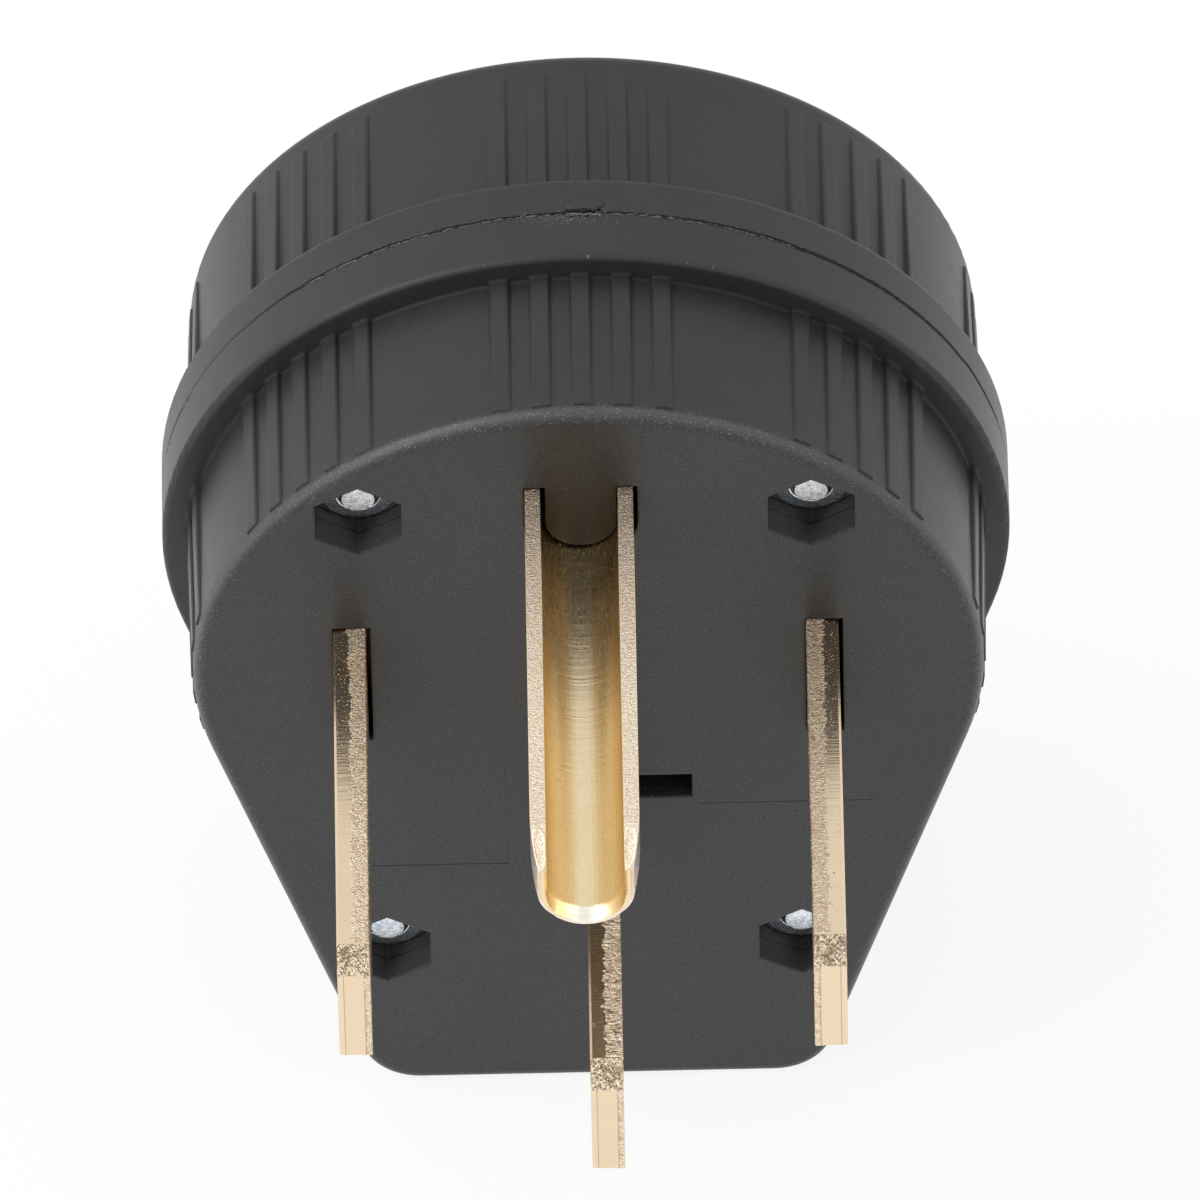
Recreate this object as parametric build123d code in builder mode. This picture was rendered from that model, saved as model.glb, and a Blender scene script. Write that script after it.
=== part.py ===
from build123d import *
import os
from math import acos, atan2, cos, degrees, hypot, radians, sin, sqrt, tan

# A four-prong angled power plug, in millimetres. X points to the right of someone who looks
# at the mating face, Y runs from that face back into the body, and Z points up to the round
# crown. The origin is the centre of the crown's circle, on the mating face. The plug stands
# on its flat lower end, where the cord leaves.

os.makedirs("parts", exist_ok=True)

# Body
crown_radius = 26.0
base_drop = 41.5
base_width = 29.5
base_corner_radius = 4.0
body_depth = 31.7
seam_depth = 15.9
side_wall = 2.6
face_thickness = 4.0
rear_thickness = 2.6
face_edge_round = 0.9
rear_edge_round = 1.0

# Belt around the seam
belt_step = 1.95
belt_front_length = 3.9
belt_rear_length = 3.0
belt_edge_round = 0.35

# Grip ribs: flat bars with steep flanks, which get lower away from the belt
rib_group_angles = (0, 45, 90, 135, 180)
ribs_per_group = 5
rib_pitch_angle = 5.85
rib_width = 1.3
rib_height = 0.36
rib_end_height = 0.12
rib_edge_chamfer = 0.1
rib_face_gap = 1.0
rib_rear_gap = 1.9

# Tongue of the rear shell that drops inside the front shell, around the crown
lip_height = 1.2
lip_root_height = 2.4
lip_thickness = 1.1
lip_clearance = 0.12
lip_lowest = -15.0

# Half-moon notch over the seam at the crown
notch_radius = 1.15
notch_depth = 0.3
notch_front_length = 0.35
notch_offset = 0.33

# Prongs
hot_spacing = 31.0
hot_height = -0.45
neutral_height = -12.6
neutral_offset = 0.8
blade_thickness = 2.15
blade_width = 11.0
blade_reach = 28.3
blade_corner_chamfer = 1.5
blade_tip_bevel = 0.4
blade_edge_break = 0.15
blade_bend_radius = 1.72
ground_width = 7.1
ground_offset = -0.25
ground_wall = 1.03
ground_bottom = 11.9
ground_height = 6.85
ground_reach = 31.5
ground_corner_drop = 1.3
ground_corner_run = 2.7
ground_tip_bevel = 0.3
slot_clearance = 0.17
seat_shift = 0.12
core_clearance = 0.2

# Side leg of the neutral slot, which takes an L-shaped blade in a sister plug
slot_leg_reach = 6.65
slot_leg_width = 2.3
slot_leg_height = -11.45

# Feet of the prongs, on the floor of the front shell
foot_length = 8.2
ground_foot_width = 8.8
ground_foot_length = 8.2

# Screws that join the shells, set in from the outline, and their nuts in pockets of the face
upper_screw_inset = 4.28
upper_screw_angle = 47.05
lower_screw_inset = 4.9
lower_screw_height = -27.7
boss_radius = 4.2
nut_across_flats = 5.5
nut_thickness = 2.4
nut_face_radius = 2.5
nut_corner_drop = 0.35
nut_clearance = 0.075
nut_depth = 2.65
housing_screw_radius = 1.5
housing_screw_stand = 0.75
housing_head_radius = 2.75
housing_head_height = 2.2
head_recess = 4.8
screw_hole_clearance = 0.2
thread_clearance = 0.05
screw_tip_chamfer = 0.4
head_edge_chamfer = 0.6

# Terminals: screw and clamp plate on each foot
terminal_screw_radius = 2.0
terminal_head_radius = 3.3
terminal_head_height = 2.4
terminal_screw_end = 2.3
terminal_hole_spare = 0.7
plate_width = 7.0
plate_length = 7.6
plate_thickness = 1.4
plate_edge_chamfer = 0.3
window_clearance = 0.3

# Insulating plate that holds the feet down, with barrier walls between the terminals
retainer_thickness = 2.0
retainer_clearance = 0.4
retainer_drop = 3.0
retainer_high = 10.6
tongue_width = 17.2
tongue_overhang = 2.05
barrier_offset = 5.35
barrier_thickness = 1.0
barrier_low = -5.5
barrier_top_depth = 15.5
retainer_screw_spacing = 32.0
retainer_screw_height = -10.2
retainer_post_radius = 2.8
retainer_screw_radius = 1.35
retainer_head_radius = 2.5
retainer_head_height = 1.8
retainer_screw_length = 5.2

# Cord entry: rubber bush held between the base wall and a rib
bush_wall = 1.25
bush_lip = 1.25
bush_flange_gap = 0.15
bush_flange_thickness = 2.2
bush_flange_chamfer = 0.5
bush_recess = 0.3
bush_clearance = 0.1
bush_rib_thickness = 1.6
bush_rib_clearance = 0.4

# Cord clamp: a steel saddle strap on two posts, over a hollowed rib
clamp_width = 5.6
clamp_foot_gap = 0.1
strap_thickness = 1.4
clamp_screw_spacing = 27.6
clamp_ear_end = 17.0
clamp_post_radius = 3.0
clamp_post_depth = 13.2
clamp_screw_radius = 1.75
clamp_head_radius = 3.0
clamp_head_height = 2.2
clamp_screw_length = 9.0
saddle_rib_width = 3.0
saddle_rib_depth = 10.0


def flank(z):
    """Half width of the outline at a height on its straight, tapering sides."""
    return base_half + (z + base_drop) * tan(taper)


# Places worked out from the sizes above
base_half = base_width / 2
touch_angle = atan2(-base_drop, base_half) + acos(crown_radius / hypot(base_half, base_drop))
taper = -touch_angle
belt_front = seam_depth - belt_front_length
belt_rear = seam_depth + belt_rear_length
rear_inside = body_depth - rear_thickness
cord_depth = seam_depth
cord_room = min(cord_depth - face_thickness, rear_inside - cord_depth, base_half - side_wall)
cord_radius = cord_room - bush_flange_gap - bush_lip - bush_wall
nut_seat_depth = nut_depth + nut_thickness
nut_corner_radius = nut_across_flats / sqrt(3)
pocket_corner_radius = (nut_across_flats + 2 * nut_clearance) / sqrt(3)
screw_hole_radius = housing_screw_radius + screw_hole_clearance
head_seat_depth = body_depth - head_recess
upper_screw_circle = crown_radius - upper_screw_inset
upper_screw_offset = upper_screw_circle * cos(radians(upper_screw_angle))
upper_screw_height = upper_screw_circle * sin(radians(upper_screw_angle))
lower_screw_offset = flank(lower_screw_height) - lower_screw_inset / cos(taper)
screw_places = [
    (side * offset_x, height)
    for offset_x, height in (
        (upper_screw_offset, upper_screw_height),
        (lower_screw_offset, lower_screw_height),
    )
    for side in (-1, 1)
]
ground_half = ground_width / 2
ground_middle = ground_offset - seat_shift
ground_top = ground_bottom + ground_height
foot_top = face_thickness + blade_thickness
ground_foot_top = face_thickness + ground_wall
ground_foot_low = ground_bottom + ground_wall - ground_foot_length
ground_foot_middle = ground_foot_low + ground_foot_length / 2
foot_middle = blade_thickness / 2 + foot_length / 2
hot_offset = hot_spacing / 2
terminals = {
    "hot_left": (foot_middle - hot_offset - seat_shift, hot_height, foot_top),
    "hot_right": (hot_offset - foot_middle - seat_shift, hot_height, foot_top),
    "neutral": (neutral_offset - foot_middle - seat_shift, neutral_height, foot_top),
    "ground": (ground_middle, ground_foot_middle, ground_foot_top),
}
terminal_hole_floor = terminal_screw_end - terminal_hole_spare
retainer_top = foot_top + retainer_thickness
retainer_low = neutral_height - retainer_drop
tongue_high = ground_top + tongue_overhang
retainer_screw_places = [
    (side * retainer_screw_spacing / 2, retainer_screw_height) for side in (-1, 1)
]
clamp_height = neutral_height - (blade_width + saddle_rib_width) / 2 - clamp_foot_gap
clamp_places = [(side * clamp_screw_spacing / 2, clamp_height) for side in (-1, 1)]
bush_radius = cord_radius + bush_wall
bush_seat = side_wall - base_drop
bush_rib_low = bush_seat + bush_flange_thickness + thread_clearance
through = 4 * crown_radius
UP = (Align.CENTER, Align.CENTER, Align.MIN)
DOWN = (Align.CENTER, Align.CENTER, Align.MAX)


def section(depth):
    """Plane across the body at a depth behind the mating face: its x is X and its y is Z."""
    return Plane.XZ.offset(-depth)


def seat(x, depth, z):
    """Plane at a depth that faces the rear of the plug, centred at x and z."""
    return Plane(origin=(x, depth, z), x_dir=(1, 0, 0), z_dir=(0, 1, 0))


def draw_outline():
    """Crown arc, two tapering flanks tangent to it, and the flat cord end."""
    with BuildSketch() as outline:
        with BuildLine():
            crown = CenterArc((0, 0), crown_radius, degrees(touch_angle), 180 + 2 * degrees(taper))
            Polyline(crown @ 1, (-base_half, -base_drop), (base_half, -base_drop), crown @ 0)
        make_face()
        fillet(outline.vertices().group_by(Axis.Y)[0], base_corner_radius)
    return outline.sketch


def stepped_outline(outline, step, lowest=-base_drop, highest=through):
    """The outline moved out or in by a step, kept between two heights."""
    with BuildSketch() as stepped:
        add(outline)
        offset(amount=step)
        with Locations((0, (lowest + highest) / 2)):
            Rectangle(through, highest - lowest, mode=Mode.INTERSECT)
    return stepped.sketch


def channel(half_width, bottom, top):
    """Upright shape with a round lower end and a flat top, centred at x = 0."""
    with BuildSketch() as shape:
        with BuildLine():
            round_end = ThreePointArc(
                (-half_width, bottom + half_width), (0, bottom), (half_width, bottom + half_width)
            )
            Polyline(round_end @ 1, (half_width, top), (-half_width, top), round_end @ 0)
        make_face()
    return shape.sketch


def belt_half(outline, front, rear, outer_face):
    """One shell's half of the belt as a slab, with its free edge rounded."""
    with BuildPart() as belt:
        with BuildSketch(section(front)):
            add(outline)
        extrude(amount=front - rear)
        fillet(belt.faces().sort_by(Axis.Y)[outer_face].edges(), belt_edge_round)
    return belt.part


def grip_ribs(start, end):
    """Groups of flat ribs around the crown, full height at the belt and low at their end."""
    root = crown_radius - side_wall / 2
    spread = (ribs_per_group - 1) * rib_pitch_angle
    with BuildPart() as rib:
        with BuildSketch(Plane.XZ):
            with BuildLine():
                Polyline(
                    (root, -start),
                    (crown_radius + rib_height, -start),
                    (crown_radius + rib_end_height, -end),
                    (root, -end),
                    close=True,
                )
            make_face()
        extrude(amount=rib_width / 2, both=True)
        top = rib.faces().sort_by(Axis.X)[-1]
        chamfer(top.edges().sort_by(SortBy.LENGTH)[-2:], rib_edge_chamfer)
    with BuildPart() as ribs:
        with Locations(section(0)):
            for angle in rib_group_angles:
                first = angle - spread / 2
                with PolarLocations(0, ribs_per_group, first, spread, endpoint=True):
                    add(rib.part)
    return ribs.part


def bush_rib(front, rear):
    """One shell's part of the cross rib above the bush, with its ends in the side walls."""
    width = 2 * flank(bush_rib_low + bush_rib_thickness / 2) - side_wall
    with BuildPart() as rib:
        with BuildSketch(Plane.XY.offset(bush_rib_low)):
            with Locations((0, (front + rear) / 2)):
                Rectangle(width, rear - front)
            with Locations((0, cord_depth)):
                Circle(cord_radius + bush_rib_clearance, mode=Mode.SUBTRACT)
        extrude(amount=bush_rib_thickness)
    return rib.part


def pan_screw(plane, radius, length, head_radius, head_height):
    """Pan-head screw with the underside of its head on the plane."""
    with BuildPart(plane) as screw:
        Cylinder(head_radius, head_height, align=UP)
        chamfer(screw.edges().sort_by(Axis.Y)[-1], head_edge_chamfer)
        Cylinder(radius, length, align=DOWN)
        chamfer(screw.edges().sort_by(Axis.Y)[0], screw_tip_chamfer)
    return screw.part


def flat_blade(offset_x, height, foot_side):
    """Stamped blade with a chamfered tip; its inner end is bent flat towards foot_side."""
    half = blade_thickness / 2
    foot_end = foot_side * (half + foot_length)
    origin = Plane(origin=(offset_x - seat_shift, 0, height - blade_width / 2))
    hole_x = offset_x - seat_shift + foot_side * foot_middle
    with BuildPart() as blade:
        with BuildSketch(origin) as bent_strip:
            with BuildLine():
                Polyline(
                    (-foot_side * half, -blade_reach),
                    (foot_side * half, -blade_reach),
                    (foot_side * half, face_thickness),
                    (foot_end, face_thickness),
                    (foot_end, foot_top),
                    (-foot_side * half, foot_top),
                    close=True,
                )
            make_face()
            bend = bent_strip.vertices().sort_by_distance((-foot_side * half, foot_top))[0]
            fillet(bend, blade_bend_radius)
        extrude(amount=blade_width)
        long_edges = blade.edges().filter_by(Axis.Y).filter_by(lambda e: e.length > blade_reach)
        chamfer(long_edges, blade_edge_break)
        tip_face = blade.faces().sort_by(Axis.Y)[0]
        chamfer(tip_face.edges().filter_by(Axis.X), blade_corner_chamfer)
        tip_face = blade.faces().sort_by(Axis.Y)[0]
        chamfer(tip_face.edges().filter_by(Axis.Z), blade_tip_bevel)
        with BuildSketch(seat(hole_x, face_thickness, height)):
            Circle(terminal_screw_radius + thread_clearance)
        extrude(amount=blade_thickness, mode=Mode.SUBTRACT)
    return blade.part


def hexagon_pockets(radius):
    """Four hexagons with a corner up, at the screw places."""
    with BuildSketch() as pockets:
        with Locations(*screw_places):
            RegularPolygon(radius, 6, rotation=30)
    return pockets.sketch


body_outline = draw_outline()
belt_outline = stepped_outline(body_outline, belt_step)
cavity_outline = stepped_outline(body_outline, -side_wall)
boss_limit = stepped_outline(body_outline, -side_wall / 2)

# Front shell: face plate, side wall, belt half, ribs, bosses, posts, slots and nut pockets
with BuildPart() as front_housing:
    with BuildSketch(section(0)):
        add(body_outline)
    extrude(amount=-seam_depth)
    fillet(front_housing.faces().sort_by(Axis.Y)[0].edges(), face_edge_round)
    add(belt_half(belt_outline, belt_front, seam_depth, 0))
    add(grip_ribs(belt_front, rib_face_gap))
    with BuildSketch(section(face_thickness)):
        add(cavity_outline)
    extrude(amount=face_thickness - seam_depth, mode=Mode.SUBTRACT)
    # Screw bosses up to the seam
    with BuildSketch(section(face_thickness)):
        with Locations(*screw_places):
            Circle(boss_radius)
        add(boss_limit, mode=Mode.INTERSECT)
    extrude(amount=face_thickness - seam_depth)
    # Posts of the retainer and of the cord clamp
    with BuildSketch(section(face_thickness)):
        with Locations(*retainer_screw_places):
            Circle(retainer_post_radius)
    extrude(amount=face_thickness - foot_top)
    with BuildSketch(section(face_thickness)):
        with Locations(*clamp_places):
            Circle(clamp_post_radius)
    extrude(amount=face_thickness - clamp_post_depth)
    # Hollowed saddle rib between the clamp posts, and the rib that holds the bush
    with BuildSketch(section(face_thickness)):
        with Locations((0, clamp_height)):
            Rectangle(clamp_screw_spacing, saddle_rib_width)
    extrude(amount=face_thickness - saddle_rib_depth)
    add(bush_rib(face_thickness, seam_depth))
    with BuildSketch(Plane.XY.offset(-base_drop)):
        with Locations((0, cord_depth)):
            Circle(bush_radius + bush_clearance)
    extrude(amount=side_wall, mode=Mode.SUBTRACT)
    with BuildSketch(Plane.XY.offset(clamp_height - clamp_width)):
        with Locations((0, cord_depth)):
            Circle(cord_radius)
    extrude(amount=2 * clamp_width, mode=Mode.SUBTRACT)
    # Prong slots, the leg of the neutral slot, and the U-shaped ground slot around its core
    with BuildSketch(section(0)):
        with Locations(
            (-hot_offset, hot_height), (hot_offset, hot_height), (neutral_offset, neutral_height)
        ):
            Rectangle(blade_thickness + 2 * slot_clearance, blade_width + 2 * slot_clearance)
        with Locations((slot_leg_reach / 2, slot_leg_height)):
            Rectangle(slot_leg_reach, slot_leg_width)
        with Locations((ground_offset, 0)):
            add(
                channel(
                    ground_half + slot_clearance,
                    ground_bottom - slot_clearance,
                    ground_top + slot_clearance,
                )
            )
            add(
                channel(
                    ground_half - ground_wall - core_clearance,
                    ground_bottom + ground_wall + core_clearance,
                    ground_top + ground_wall,
                ),
                mode=Mode.SUBTRACT,
            )
    extrude(amount=-face_thickness, mode=Mode.SUBTRACT)
    # Nut pockets and the screw holes behind them
    with BuildSketch(section(0)):
        add(hexagon_pockets(pocket_corner_radius))
    extrude(amount=-nut_seat_depth, mode=Mode.SUBTRACT)
    with BuildSketch(section(nut_seat_depth)):
        with Locations(*screw_places):
            Circle(screw_hole_radius)
    extrude(amount=nut_seat_depth - seam_depth, mode=Mode.SUBTRACT)
    # Blind holes under the terminals, in the retainer's posts and in the clamp's posts
    with BuildSketch(section(terminal_hole_floor)):
        with Locations(*[(x, z) for x, z, top in terminals.values()]):
            Circle(terminal_screw_radius + screw_hole_clearance)
    extrude(amount=terminal_hole_floor - face_thickness, mode=Mode.SUBTRACT)
    with BuildSketch(section(foot_top)):
        with Locations(*retainer_screw_places):
            Circle(retainer_screw_radius + thread_clearance)
    extrude(amount=retainer_screw_length, mode=Mode.SUBTRACT)
    with BuildSketch(section(clamp_post_depth)):
        with Locations(*clamp_places):
            Circle(clamp_screw_radius + thread_clearance)
    extrude(amount=clamp_screw_length, mode=Mode.SUBTRACT)
    # Front edge of the notch
    with BuildSketch(Plane.XY.offset(crown_radius + belt_step - notch_depth)):
        with Locations((notch_offset, seam_depth)):
            Rectangle(2 * notch_radius, 2 * notch_front_length)
    extrude(amount=2 * notch_depth, mode=Mode.SUBTRACT)
front_housing.part.label = "front_housing"

# Rear shell: back wall, side wall, belt half, ribs, bosses and the tongue around the crown
with BuildPart() as rear_cover:
    with BuildSketch(section(seam_depth)):
        add(body_outline)
    extrude(amount=seam_depth - body_depth)
    fillet(rear_cover.faces().sort_by(Axis.Y)[-1].edges(), rear_edge_round)
    add(belt_half(belt_outline, seam_depth, belt_rear, -1))
    add(grip_ribs(belt_rear, body_depth - rib_rear_gap))
    with BuildSketch(section(seam_depth)):
        add(cavity_outline)
    extrude(amount=seam_depth - rear_inside, mode=Mode.SUBTRACT)
    # Tongue: its root stands on the wall's inside, its free end drops into the front shell
    with BuildSketch(section(seam_depth)):
        add(stepped_outline(body_outline, -side_wall, lip_lowest))
        add(
            stepped_outline(body_outline, -side_wall - lip_clearance - lip_thickness),
            mode=Mode.SUBTRACT,
        )
    extrude(amount=-lip_root_height)
    with BuildSketch(section(seam_depth)):
        add(stepped_outline(body_outline, -side_wall - lip_clearance, lip_lowest))
        add(
            stepped_outline(body_outline, -side_wall - lip_clearance - lip_thickness),
            mode=Mode.SUBTRACT,
        )
        with Locations(*screw_places):
            Circle(boss_radius + retainer_clearance, mode=Mode.SUBTRACT)
    extrude(amount=lip_height)
    # Screw bosses, holes and the recesses of the heads
    with BuildSketch(section(seam_depth)):
        with Locations(*screw_places):
            Circle(boss_radius)
        add(boss_limit, mode=Mode.INTERSECT)
    extrude(amount=seam_depth - rear_inside)
    with BuildSketch(section(seam_depth)):
        with Locations(*screw_places):
            Circle(screw_hole_radius)
    extrude(amount=seam_depth - body_depth, mode=Mode.SUBTRACT)
    with BuildSketch(section(head_seat_depth)):
        with Locations(*screw_places):
            Circle(housing_head_radius + screw_hole_clearance)
    extrude(amount=-head_recess, mode=Mode.SUBTRACT)
    # The rear half of the rib that holds the bush, and of the cord hole
    add(bush_rib(seam_depth, rear_inside))
    with BuildSketch(Plane.XY.offset(-base_drop)):
        with Locations((0, cord_depth)):
            Circle(bush_radius + bush_clearance)
    extrude(amount=side_wall, mode=Mode.SUBTRACT)
    # Half-moon of the notch
    with BuildSketch(Plane.XY.offset(crown_radius + belt_step - notch_depth)):
        with Locations((notch_offset, seam_depth)):
            Circle(notch_radius)
    extrude(amount=2 * notch_depth, mode=Mode.SUBTRACT)
rear_cover.part.label = "rear_cover"

# Prongs
blades = {
    "hot_blade_left": flat_blade(-hot_offset, hot_height, 1),
    "hot_blade_right": flat_blade(hot_offset, hot_height, -1),
    "neutral_blade": flat_blade(neutral_offset, neutral_height, -1),
}
for name, blade in blades.items():
    blade.label = name
    export_step(blade, f"parts/{name}.step")

# Ground pin: a strip formed to a U that is open upwards, coined at its tip, with a flat foot
with BuildPart() as ground_pin:
    with BuildSketch(section(-ground_reach)):
        with Locations((ground_middle, 0)):
            add(channel(ground_half, ground_bottom, ground_top))
            add(
                channel(ground_half - ground_wall, ground_bottom + ground_wall, through),
                mode=Mode.SUBTRACT,
            )
    extrude(amount=-(ground_reach + ground_foot_top))
    chamfer(ground_pin.faces().sort_by(Axis.Y)[0].edges(), ground_tip_bevel)
    with BuildSketch(Plane.YZ):
        with BuildLine():
            Polyline(
                (-ground_reach, ground_top - ground_corner_drop),
                (ground_corner_run - ground_reach, ground_top),
                (ground_corner_run - ground_reach, through),
                (-through, through),
                (-through, ground_top - ground_corner_drop),
                close=True,
            )
        make_face()
    extrude(amount=ground_width, both=True, mode=Mode.SUBTRACT)
    with BuildSketch(section(face_thickness)):
        with Locations((ground_middle, ground_foot_middle)):
            Rectangle(ground_foot_width, ground_foot_length)
            Circle(terminal_screw_radius + thread_clearance, mode=Mode.SUBTRACT)
    extrude(amount=-ground_wall)
ground_pin.part.label = "ground_pin"

# Insulating plate over the feet
plate_outline = stepped_outline(
    body_outline, -side_wall - retainer_clearance, retainer_low, retainer_high
)
with BuildPart() as blade_retainer:
    with BuildSketch(section(foot_top)) as plate:
        add(plate_outline)
        with Locations((0, (retainer_low + tongue_high) / 2)):
            Rectangle(tongue_width, tongue_high - retainer_low)
    extrude(amount=-retainer_thickness)
    # Pad that reaches down to the thinner foot of the ground pin and to the end of its U
    with BuildSketch(section(ground_foot_top)):
        with Locations((ground_middle, (ground_foot_low + tongue_high) / 2)):
            Rectangle(ground_foot_width, tongue_high - ground_foot_low)
    extrude(amount=ground_foot_top - foot_top)
    # Barrier walls between the terminals
    with BuildSketch(section(retainer_top)):
        with Locations(*[(s * barrier_offset, (barrier_low + tongue_high) / 2) for s in (-1, 1)]):
            Rectangle(barrier_thickness, tongue_high - barrier_low)
    extrude(amount=retainer_top - barrier_top_depth)
    # A window over each terminal, and the holes of the two screws
    with BuildSketch(section(ground_foot_top)):
        with Locations(*[(x, z) for x, z, top in terminals.values()]):
            Rectangle(plate_width + 2 * window_clearance, plate_length + 2 * window_clearance)
        with Locations(*retainer_screw_places):
            Circle(retainer_screw_radius + screw_hole_clearance)
    extrude(amount=ground_foot_top - retainer_top, mode=Mode.SUBTRACT)
blade_retainer.part.label = "blade_retainer"

# Rubber bush in the cord exit
with BuildPart(Plane.XY.offset(bush_seat)) as cable_bush:
    with BuildSketch(Plane.XY.offset(bush_seat)):
        with Locations((0, cord_depth)):
            Circle(bush_radius + bush_lip)
    extrude(amount=bush_flange_thickness)
    chamfer(cable_bush.edges(), bush_flange_chamfer)
    with BuildSketch(Plane.XY.offset(bush_recess - base_drop)):
        with Locations((0, cord_depth)):
            Circle(bush_radius)
    extrude(amount=side_wall)
    with BuildSketch(Plane.XY.offset(-base_drop)):
        with Locations((0, cord_depth)):
            Circle(cord_radius)
    extrude(amount=side_wall + bush_flange_thickness, mode=Mode.SUBTRACT)
cable_bush.part.label = "cable_bush"

# Steel strap that presses the cord on the saddle rib
strap_radius = cord_radius + strap_thickness
with BuildPart() as cord_clamp:
    with BuildSketch(Plane.XY.offset(clamp_height - clamp_width / 2)):
        with Locations((0, cord_depth)):
            Circle(strap_radius)
        with Locations((0, (clamp_post_depth + cord_depth) / 2)):
            Rectangle(2 * strap_radius, cord_depth - clamp_post_depth)
        with Locations((0, clamp_post_depth + strap_thickness / 2)):
            Rectangle(2 * clamp_ear_end, strap_thickness)
        with Locations((0, cord_depth)):
            Circle(cord_radius, mode=Mode.SUBTRACT)
        with Locations((0, cord_depth)):
            Rectangle(2 * cord_radius, through, align=(Align.CENTER, Align.MAX), mode=Mode.SUBTRACT)
        with Locations((0, clamp_post_depth)):
            Rectangle(through, through, align=(Align.CENTER, Align.MAX), mode=Mode.SUBTRACT)
    extrude(amount=clamp_width)
    with BuildSketch(section(clamp_post_depth)):
        with Locations(*clamp_places):
            Circle(clamp_screw_radius + screw_hole_clearance)
    extrude(amount=-strap_thickness, mode=Mode.SUBTRACT)
cord_clamp.part.label = "cord_clamp"

for piece in (front_housing, rear_cover, ground_pin, blade_retainer, cable_bush, cord_clamp):
    export_step(piece.part, f"parts/{piece.part.label}.step")

# Terminal screws and their clamp plates, one on each foot
for name, (x, z, top) in terminals.items():
    with BuildPart(seat(x, top, z)) as clamp_plate:
        Box(plate_width, plate_length, plate_thickness, align=UP)
        chamfer(clamp_plate.faces().sort_by(Axis.Y)[-1].edges(), plate_edge_chamfer)
        Cylinder(terminal_screw_radius + screw_hole_clearance, through, mode=Mode.SUBTRACT)
    clamp_plate.part.label = f"clamp_plate_{name}"
    export_step(clamp_plate.part, f"parts/{clamp_plate.part.label}.step")
    terminal_screw = pan_screw(
        seat(x, top + plate_thickness, z),
        terminal_screw_radius,
        top + plate_thickness - terminal_screw_end,
        terminal_head_radius,
        terminal_head_height,
    )
    terminal_screw.label = f"terminal_screw_{name}"
    export_step(terminal_screw, f"parts/{terminal_screw.label}.step")

# Screws that join the shells, each with a hexagonal nut in its pocket
for number, (x, z) in enumerate(screw_places, start=1):
    housing_screw = pan_screw(
        seat(x, head_seat_depth, z),
        housing_screw_radius,
        head_seat_depth - nut_depth + housing_screw_stand,
        housing_head_radius,
        housing_head_height,
    )
    housing_screw.label = f"housing_screw_{number}"
    export_step(housing_screw, f"parts/{housing_screw.label}.step")
    with BuildPart() as housing_nut:
        with BuildSketch(section(nut_depth)):
            with Locations((x, z)):
                RegularPolygon(nut_corner_radius, 6, rotation=30)
        extrude(amount=-nut_thickness)
        # Both ends of the hexagon's corners are turned down to a round face
        with BuildSketch(Plane(origin=(x, nut_depth, z), x_dir=(1, 0, 0), z_dir=(0, 0, 1))):
            with BuildLine():
                Polyline(
                    (0, 0),
                    (nut_face_radius, 0),
                    (nut_corner_radius, nut_corner_drop),
                    (nut_corner_radius, nut_thickness - nut_corner_drop),
                    (nut_face_radius, nut_thickness),
                    (0, nut_thickness),
                    close=True,
                )
            make_face()
        revolve(axis=Axis((x, 0, z), (0, 1, 0)), mode=Mode.INTERSECT)
        with BuildSketch(section(nut_depth)):
            with Locations((x, z)):
                Circle(housing_screw_radius + thread_clearance)
        extrude(amount=-nut_thickness, mode=Mode.SUBTRACT)
    housing_nut.part.label = f"housing_nut_{number}"
    export_step(housing_nut.part, f"parts/{housing_nut.part.label}.step")

# Screws of the retainer and of the cord clamp
small_screws = {
    "retainer_screw": (
        retainer_screw_places,
        retainer_top,
        (retainer_screw_radius, retainer_screw_length, retainer_head_radius, retainer_head_height),
    ),
    "clamp_screw": (
        clamp_places,
        clamp_post_depth + strap_thickness,
        (clamp_screw_radius, clamp_screw_length, clamp_head_radius, clamp_head_height),
    ),
}
for name, (places, depth, sizes) in small_screws.items():
    for number, (x, z) in enumerate(places, start=1):
        small_screw = pan_screw(seat(x, depth, z), *sizes)
        small_screw.label = f"{name}_{number}"
        export_step(small_screw, f"parts/{small_screw.label}.step")
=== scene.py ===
# %% [markdown]
# # An angled four-prong plug
# The model is a right-angle power plug of black moulded nylon with brass prongs. Its shells,
# prongs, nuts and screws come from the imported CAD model, which is the fixed frame. This lesson
# gives them their finishes, and adds what is too fine for CAD: torn skins on the prongs, the
# drawn-in nose of the ground pin, screw threads and recesses, and the flash and crumbs along
# the seam. Objects are in metres in the frame of the model, and measures in millimetres.

import random
from math import cos, pi, radians, sin, sqrt

import bmesh
import bpy
from mathutils import Matrix, Vector, noise


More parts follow.
